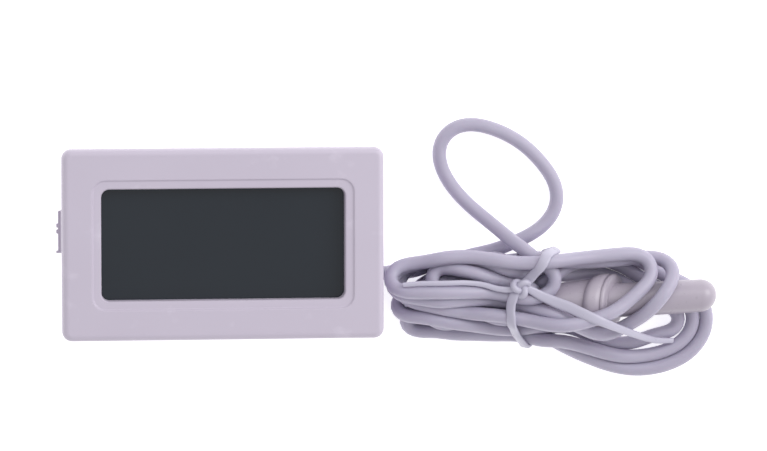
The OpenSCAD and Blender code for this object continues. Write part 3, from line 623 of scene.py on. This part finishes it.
def build_front_case():
    """One closed skin: out over the bezel, in through the window, and down the inside of the tub."""
    rings = [rounded(BODY_W - 0.3, BODY_H - 0.3, BODY_R - 0.15, 1.6), rounded(BODY_W, BODY_H, BODY_R, 1.75)]
    rings += [rounded(BODY_W, BODY_H, BODY_R, 12.6), rounded(BODY_W + 0.2, BODY_H + 0.2, BODY_R, 12.8)]
    rings += [rounded(47.5, 28.1, 1.2, 12.8), rounded(47.85, 28.45, 1.38, 12.88), rounded(48, 28.6, 1.45, 13.1)]
    rings += fillet(48, 28.6, 1.45, 13.1, BEZEL_FACE, 0.95, 8)
    # the shallow step round the window, then its slope down to the opening
    rings += [rounded(45.9, 26.5, 0.5, BEZEL_FACE), rounded(45.3, 25.9, 0.6, BEZEL_FACE)]
    rings += [rounded(40.4, 20.7, 2.3, BEZEL_FACE), rounded(39.6, 19.9, 2.2, BEZEL_FACE)]
    rings += [rounded(39.3, 19.6, 2.1, BEZEL_FACE), rounded(39.12, 19.42, 2.0, 15.17), rounded(38.86, 19.16, 1.9, 14.98)]
    rings += [rounded(38.7, 19.0, 1.85, 14.94), rounded(38.5, 18.8, 1.8, 14.935), rounded(36.9, 17.2, 1.4, 14.905)]
    rings += [rounded(36.7, 17.0, 1.35, 14.89), rounded(36.45, 16.75, 1.25, 14.78)]
    rings += [rounded(36.32, 16.62, 1.2, 14.45), rounded(36.3, 16.6, 1.2, 13.2)]
    rings += [rounded(43.2, 23.4, 0.6, 13.2), rounded(43.2, 23.4, 0.6, 1.8), rounded(43.4, 23.6, 0.6, 1.6)]
    case = make("front_case_skin", *loft(rings, closed=True), sharp=SHARP)
    cutters = []
    for side in (-1, 1):
        mid, half = side * 22.3, CLIP_H / 2 + 0.3
        low, high = (mid - 1.6, CLIP_Y - half, 2.2), (mid + 1.6, CLIP_Y + half, 10.6)
        cutters.append(block("clip_opening", low, high, 0.3, axis=0))
    cutters.append(turned("cord_opening", [(0, 1.6), (4, 1.6)], 20.5, EXIT_Y, EXIT_Z))
    cut_away(case, cutters, SHARP)
    boss_parts = []
    for x in (-20.4, 20.4):
        for y in (-9.9, 9.9):
            outside = [round_ring(1.2, 13.3, 32, x, y), round_ring(1.2, 9.0, 32, x, y)]
            hole = [round_ring(0.66, 9.0, 32, x, y), round_ring(0.66, 12.0, 32, x, y)]
            boss_parts.append(loft(outside + hole))
    bosses = make("case_bosses_skin", *joined(boss_parts), sharp=SHARP)
    return case, bosses


def build_cover():
    """Rear plate with its rim, and the well that holds the cells, open to the battery door."""
    rings = [rounded(45.2, 25.4, 0.7, 0.0), rounded(45.7, 25.9, 0.9, 0.08), rounded(BODY_W, BODY_H, BODY_R, 0.4)]
    rings += [rounded(BODY_W, BODY_H, BODY_R, 1.5), rounded(BODY_W - 0.2, BODY_H - 0.2, BODY_R, 1.6)]
    rings += [rounded(43.0, 23.2, 0.6, 1.6), rounded(43.0, 23.2, 0.6, 3.3), rounded(42.8, 23.0, 0.55, 3.4)]
    rings += [rounded(41.4, 21.6, 0.4, 3.4), rounded(41.2, 21.4, 0.4, 3.3), rounded(41.2, 21.4, 0.4, 1.6)]
    cover = make("rear_cover_skin", *loft(rings), sharp=SHARP)
    well_sizes = ((27.2, 13.9, 0.9), (27.2, 13.9, 6.5), (27.0, 13.7, 6.6))
    well_rings = [rounded(w, h, 0.3, z, y=WELL_Y) for w, h, z in well_sizes]
    well = make("well", *loft(well_rings))
    mod = cover.modifiers.new("well", "BOOLEAN")
    mod.operation, mod.solver, mod.object = "UNION", "EXACT", well
    cutters = [
        block("slot_skin", (-12.7, -15, -1), (12.7, 2.6, 1.2)),
        block("slot_tongue", (-13.4, -15, 0.45), (13.4, 2.6, 1.2)),
        make("pocket_a", *loft([round_ring(6.0, z, 64, -CELL_X, CELL_Y) for z in (1.1, 8)])),
        make("pocket_b", *loft([round_ring(6.0, z, 64, CELL_X, CELL_Y) for z in (1.1, 8)])),
        block("blade_slot_a", (-0.6, -6.3, 2.2), (0.6, -2.9, 8)),
        block("blade_slot_b", (11.7, -6.3, 2.2), (12.5, -2.9, 8)),
        block("rim_gap", (18.6, EXIT_Y - 1.8, 1.6), (23.4, EXIT_Y + 1.8, 5)),
    ]
    cut_away(cover, cutters, SHARP)
    bpy.data.objects.remove(well)
    return cover


def build_door():
    """Sliding plate with a wider tongue above, and finger grooves."""
    plate = ((24.7, 15.2, 0.35, 0.0), (25.0, 15.5, 0.45, 0.15), (25.0, 15.5, 0.45, 0.55))
    tongue = ((26.4, 15.5, 0.3, 0.55), (26.4, 15.5, 0.3, 1.0), (26.2, 15.3, 0.3, 1.1))
    rings = [rounded(w, h, r, z, y=DOOR_Y) for w, h, r, z in plate + tongue]
    door = make("battery_door_skin", *loft(rings), sharp=SHARP)
    grooves = [block("groove", (-4, -11.6 + k, -1), (4, -11.1 + k, 0.3), 0.1, axis=2) for k in range(5)]
    cut_away(door, grooves, SHARP)
    return door


CLIP_OUTLINE = [
    (21.75, 2.9), (22.05, 2.4), (22.6, 2.42), (22.85, 2.9), (23.5, 5.0), (24.2, 7.1), (24.24, 7.32),
    (24.2, 7.5), (23.88, 7.5), (23.85, 7.56),
    (23.85, 8.3), (23.8, 8.4), (23.52, 8.4), (23.5, 8.46), (23.5, 9.2), (23.45, 9.3), (23.17, 9.3), (23.15, 9.36),
    (23.15, 10.05), (23.0, 10.2), (22.45, 10.2), (22.3, 10.05), (22.3, 6.8), (21.95, 4.6),
]


def build_clip(side, name):
    """Sprung tongue: one section carried across its height, with two ribs and a lip at the lower end."""
    top, low = CLIP_Y + CLIP_H / 2, CLIP_Y - CLIP_H / 2

    def slab(outline, y0, y1, edge):
        rings = []
        mid = np.mean(outline, axis=0)
        for y, shrink in ((y0, edge), (y0 + edge, 0), (y1 - edge, 0), (y1, edge)):
            ring = []
            for px, pz in outline:
                inward = math.copysign(min(shrink, abs(px - mid[0]) * 0.2), px - mid[0])
                ring.append((side * (px - inward), y, pz))
            rings.append(ring)
        return loft(rings)

    parts = [slab(CLIP_OUTLINE, low, top, 0.1)]
    for y in (CLIP_Y + 0.5 - 0.45, CLIP_Y + 0.5 + 0.45):
        rib = [(23.6, 6.3), (24.3, 6.9), (24.5, 7.1), (24.5, 7.36), (24.42, 7.45), (23.6, 7.45)]
        parts.append(slab(rib, y - 0.3, y + 0.3, 0.12))
    lip = [(23.4, 6.2), (24.3, 6.6), (24.5, 6.9), (24.52, 7.38), (24.42, 7.46), (23.4, 7.46)]
    parts.append(slab(lip, low, low + 0.3, 0.05))
    return make(name, *joined(parts), sharp=30)


def build_bushing():
    """Flanged ring in the side wall, with the cord's hole through it."""
    profile = [
        (0, 1.055), (0, 1.6), (1.4, 1.6), (1.4, 1.9), (1.75, 1.9), (1.95, 1.75), (2.0, 1.5), (1.95, 1.2),
        (1.85, 1.06),
    ]
    turns = [2 * math.pi * k / 40 for k in range(40)]
    rings = []
    for dx, r in profile:
        rings.append([(21.6 + dx, EXIT_Y + r * math.cos(a), EXIT_Z + r * math.sin(a)) for a in turns])
    return make("cord_bushing_skin", *loft(rings, closed=True), sharp=40)


case, bosses = build_front_case()
cover = build_cover()
door = build_door()
clip_left = build_clip(-1, "clip_left_skin")
clip_right = build_clip(1, "clip_right_skin")
bushing = build_bushing()
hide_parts("front_case")
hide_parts("rear_cover")
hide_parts("battery_door")
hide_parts("clip_left")
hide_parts("clip_right")
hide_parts("cord_bushing")
for piece, body in (
    (case, "housing"), (bosses, "housing"), (cover, "housing"), (door, "door"), (clip_left, "left_clip"),
    (clip_right, "right_clip"), (bushing, "housing"),
):
    wear_look(piece, HOUSING)
    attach(piece, body)


# ---------------------------------------------------------------- probe
def probe_piece(name, profile, start, lean=0.0, n=56, sharp=35):
    """Solid of revolution about the probe's axis: profile is (distance along it, radius); lean sets it askew."""
    rings = []
    for dx, r in profile:
        ring = []
        for k in range(n):
            across, up = r * math.cos(2 * math.pi * k / n), r * math.sin(2 * math.pi * k / n)
            run = start + dx - PROBE_TIP[0] - lean * up
            ring.append((PROBE_TIP[0] + run, PROBE_TIP[1] + PROBE_SLOPE * run + across, PROBE_TIP[2] + up))
        rings.append(ring)
    return make(name, *loft(rings), sharp=sharp)


def build_probe():
    """Tail that widens towards the collar, grooved collar that sits askew, and shell with a round tip."""
    flare = [
        (0.02, 1.06), (0, 1.2), (0, 1.7), (0.08, 1.8), (0.8, 2.3), (1.6, 2.7), (2.5, 2.95), (5, 3.25), (9, 3.5),
        (10.6, 3.55), (10.6, 1.06),
    ]
    tail = probe_piece("probe_tail_skin", flare, 48)
    rim = [(1.8 - 1.8 * math.cos(a), 2.4 + 1.8 * math.sin(a)) for a in np.linspace(0, math.pi / 2, 12)]
    groove = [
        (2.5, 4.18), (2.8, 4.06), (2.98, 3.84), (3.1, 3.84), (3.22, 4.0), (3.42, 4.06), (3.7, 3.98), (3.88, 3.7),
        (3.95, 3.2), (3.95, 1.06),
    ]
    collar_profile = [(0, 1.06), (0, 2.0)] + rim + groove
    collar = probe_piece("probe_collar_skin", collar_profile, COLLAR_X - 1.2, lean=0.55, sharp=50)
    tip = [(14.8 + 2.5 * math.sin(a), 2.5 * math.cos(a)) for a in np.linspace(0, math.pi / 2, 14)[:-1]]
    shell_profile = [(0, 1.3), (0, 2.58), (4, 2.58), (9, 2.56), (12.5, 2.53)] + tip + [(17.3, 0.02)]
    shell = probe_piece("probe_shell_skin", shell_profile, 58.5, sharp=50)
    return tail, collar, shell


# ---------------------------------------------------------------- cord, tie and probe as pieces
route, hold = build_route()
line = soften(settle(route, hold))
line[0] = (23.6, EXIT_Y, EXIT_Z)
cord_section = [(x, y) for x, y, _ in round_ring(CORD_R, 0, 18)]
cord_line = along(line, 0.7)
cord = swept("cord", cord_line, cord_section, sharp=80)


def off_cord(p, reach):
    """Moves a strip's points out of the cord."""
    d = p[:, None, :] - cord_line[None, :, :]
    gap = np.linalg.norm(d, axis=2)
    near = gap.argmin(axis=1)
    rows = np.arange(len(p))
    least = gap[rows, near]
    p += d[rows, near] / (least[:, None] + 1e-9) * np.clip(CORD_R + reach - least, 0, None)[:, None]


def lay_over(p, thick, turns=320):
    """Lets a strip sink on to whatever lies highest below it, without moving in plan."""
    apart = np.clip(np.linalg.norm(p[:, None, :2] - cord_line[None, :, :2], axis=2) - 0.35, 0, None)
    reach = CORD_R + thick
    rise = np.sqrt(np.clip(reach ** 2 - apart ** 2, 0, None))
    tops = np.where(apart < reach, cord_line[None, :, 2] + rise, thick)
    r = probe_radius(p[:, 0]) + thick
    off = p[:, 1] - probe_axis_y(p[:, 0])
    probe_rise = np.sqrt(np.clip(r ** 2 - off ** 2, 0, None))
    over_probe = np.where((np.abs(off) < r) & (r > thick), PROBE_TIP[2] + probe_rise, thick)
    least = np.maximum(tops.max(axis=1), over_probe)
    z = np.maximum(p[:, 2], least)
    for _ in range(turns):
        z[4:] -= 0.03
        for _ in range(6):
            z[1:-1] += 0.25 * ((z[:-2] + z[2:]) / 2 - z[1:-1])
            z[2:-2] -= 0.1 * (z[:-4] - 4 * z[1:-3] + 6 * z[2:-2] - 4 * z[3:-1] + z[4:])
        z = np.maximum(z, least)
    for _ in range(6):
        z[1:-1] += 0.5 * ((z[:-2] + z[2:]) / 2 - z[1:-1])
    p[:, 2] = z
    return p


# The band round the hank: over the top from its upper to its lower side, then back underneath. TIE_TOP,
# KNOT and the tails were traced and worked back to millimetres like the cord's route; TIE_UNDER was chosen.
TIE_TOP = [
    (51.3, -1.9), (50.4, -2.2), (49.5, -2.7), (48.6, -3.5), (47.6, -4.8), (46.5, -6.4), (45.2, -7.5),
    (44.3, -8.4), (43.8, -9.6), (43.7, -11.1), (43.9, -12.7), (44.6, -14.4), (45.6, -15.8), (46.8, -16.9),
]
TIE_UNDER = [(48, -17.6, 2), (48.6, -17, 0.4), (49.2, -12, 0.3), (50.4, -5, 0.3), (51.4, -1.6, 0.4), (51.8, -0.8, 4)]
BAND_HALF, BAND_THICK = 0.78, 0.34


def build_band():
    """The band's closed line, drawn tight round the cord, and the outward direction at each point."""
    over = along([(x, y, 12) for x, y in TIE_TOP], 0.6)
    p = np.vstack([over, along(TIE_UNDER, 0.6)])
    for _ in range(420):
        mid = (np.roll(p, 1, axis=0) + np.roll(p, -1, axis=0)) / 2
        p += 0.5 * (mid - p)
        p[:len(over), 2] -= 0.02
        p[:len(over), :2] += 0.2 * (over[:, :2] - p[:len(over), :2])
        off_cord(p, BAND_THICK + 0.05)
        p[:, 2] = np.maximum(p[:, 2], BAND_THICK + 0.12)
    return p, p - p.mean(axis=0)


def oblong(half, thick, square, thick_square, n):
    """Flattened oval section: each power below 1 squares off its direction."""
    section = []
    for a in np.linspace(0, 2 * math.pi, n + 1)[:-1]:
        x, y = math.cos(a), math.sin(a)
        across = half * math.copysign(abs(x) ** square, x)
        section.append((across, thick * math.copysign(abs(y) ** thick_square, y)))
    return section


band_section = oblong(BAND_HALF, BAND_THICK, 0.6, 0.8, 16)
band_line, band_out = build_band()
band = swept("tie_band", band_line, band_section, closed=True, sharp=70, up=band_out)

KNOT = (44.9, -7.4)
LEFT_TAIL = [
    (44.6, -7.6, 10), (43.2, -7.8, 10), (41.6, -7.6, 10), (40.3, -7.2, 10), (39.1, -6.9, 9.8),
    (37.6, -6.7, 9.6), (36.1, -6.6, 9.5), (33, -6.6, 9.5), (30, -6.6, 9.5), (27.3, -6.8, 9.5),
]
RIGHT_TAIL = [
    (45.3, -7.2, 10.2), (46.8, -7.9, 10.4), (48.2, -8.7, 10.6), (49.7, -9.4, 10.8), (51.1, -10, 10.8),
    (52.7, -10.6, 10.8), (54.2, -11.3, 10.6), (55.8, -12, 10.4), (57.4, -12.7, 10), (59, -13.4, 9.4),
    (60.8, -14.2, 8.6), (62.7, -15, 7.6), (64.9, -15.9, 6.6), (67, -16.5, 6), (69.6, -16.7, 5.6),
]
# Half the tails' width, from the knot to the end, and half their thickness
LEFT_HALF = [0.5, 0.42, 0.4, 0.4, 0.36]
RIGHT_HALF = [0.5, 0.72, 0.85, 0.82, 0.68, 0.6, 0.55, 0.5, 0.4]
TAIL_THICK = 0.26
tail_section = oblong(1, TAIL_THICK, 0.7, 1, 14)
tails = []
for tail_name, points, half in (("tie_tail_left", LEFT_TAIL, LEFT_HALF), ("tie_tail_right", RIGHT_TAIL, RIGHT_HALF)):
    p = lay_over(along(points, 0.7), TAIL_THICK)
    wide = np.interp(np.linspace(0, 1, len(p)), np.linspace(0, 1, len(half)), half)
    upward = np.tile((0.0, 0.0, 1.0), (len(p), 1))
    tails.append(swept(tail_name, p, tail_section, sharp=70, up=upward, wide=wide))

# A trefoil, on the band's upper side next to KNOT
from_knot = np.linalg.norm(band_line[:, :2] - KNOT, axis=1) + 5 * (band_line[:, 2] < 4)
knot_mid = band_line[np.argmin(from_knot)] + (0, 0, 0.55)
t = np.linspace(0, 2 * math.pi, 73)[:-1]
trefoil = [np.sin(t) + 2 * np.sin(2 * t), np.cos(t) - 2 * np.cos(2 * t), -1.1 * np.sin(3 * t)]
knot_line = knot_mid + 0.42 * np.stack(trefoil, axis=1)
knot_section = [(x, y) for x, y, _ in round_ring(0.5, 0, 12)]
knot = swept("tie_knot", knot_line, knot_section, closed=True, sharp=70, up=knot_line - knot_mid)

tail, collar, shell = build_probe()
wear_look(cord, CORD)
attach(cord, "housing")
for piece in (band, knot, *tails):
    wear_look(piece, TIE)
    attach(piece, "housing")
for piece in (tail, collar, shell):
    wear_look(piece, PROBE)
    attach(piece, "housing")
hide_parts("cord_exit_run", "cord_free_loop", "cord_hank", "cord_probe_run")
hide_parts("cord_tie")
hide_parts("probe_tail")
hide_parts("probe_collar")
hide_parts("probe_shell")


# ---------------------------------------------------------------- floor and light
floor_mesh = bpy.data.meshes.new("floor")
floor_mesh.from_pydata([(-3, -3, -0.0002), (3, -3, -0.0002), (3, 3, -0.0002), (-3, 3, -0.0002)], [], [(0, 1, 2, 3)])
floor = bpy.data.objects.new("floor", floor_mesh)
scene.collection.objects.link(floor)
floor_mat = bpy.data.materials.new("floor")
floor_mat.use_nodes = True
floor_shader = floor_mat.node_tree.nodes["Principled BSDF"]
floor_shader.inputs["Base Color"].default_value = (0.9, 0.9, 0.9, 1)
floor_shader.inputs["Roughness"].default_value = 0.9
floor_shader.inputs["Specular IOR Level"].default_value = 0.1
floor_shader.inputs["Emission Color"].default_value = (1, 1, 1, 1)
floor_shader.inputs["Emission Strength"].default_value = 0.6
floor.data.materials.append(floor_mat)


def lamp(name, place, size, power):
    """White area light that faces the origin."""
    data = bpy.data.lights.new(name, "AREA")
    data.shape, data.size, data.size_y = "RECTANGLE", size[0], size[1]
    data.energy = power
    obj = bpy.data.objects.new(name, data)
    obj.location = place
    obj.rotation_euler = (-Vector(place)).to_track_quat("-Z", "Y").to_euler()
    scene.collection.objects.link(obj)


lamp("key", (0.6, 0.25, 0.45), (0.45, 0.45), 2.5)
lamp("top", (0.1, 0.5, 0.7), (0.8, 0.5), 1.2)
world = bpy.data.worlds.new("studio")
scene.world = world
world.use_nodes = True
world.node_tree.nodes["Background"].inputs[0].default_value = (1, 1, 1, 1)
world.node_tree.nodes["Background"].inputs[1].default_value = 0.66
scene.view_settings.view_transform = "Standard"
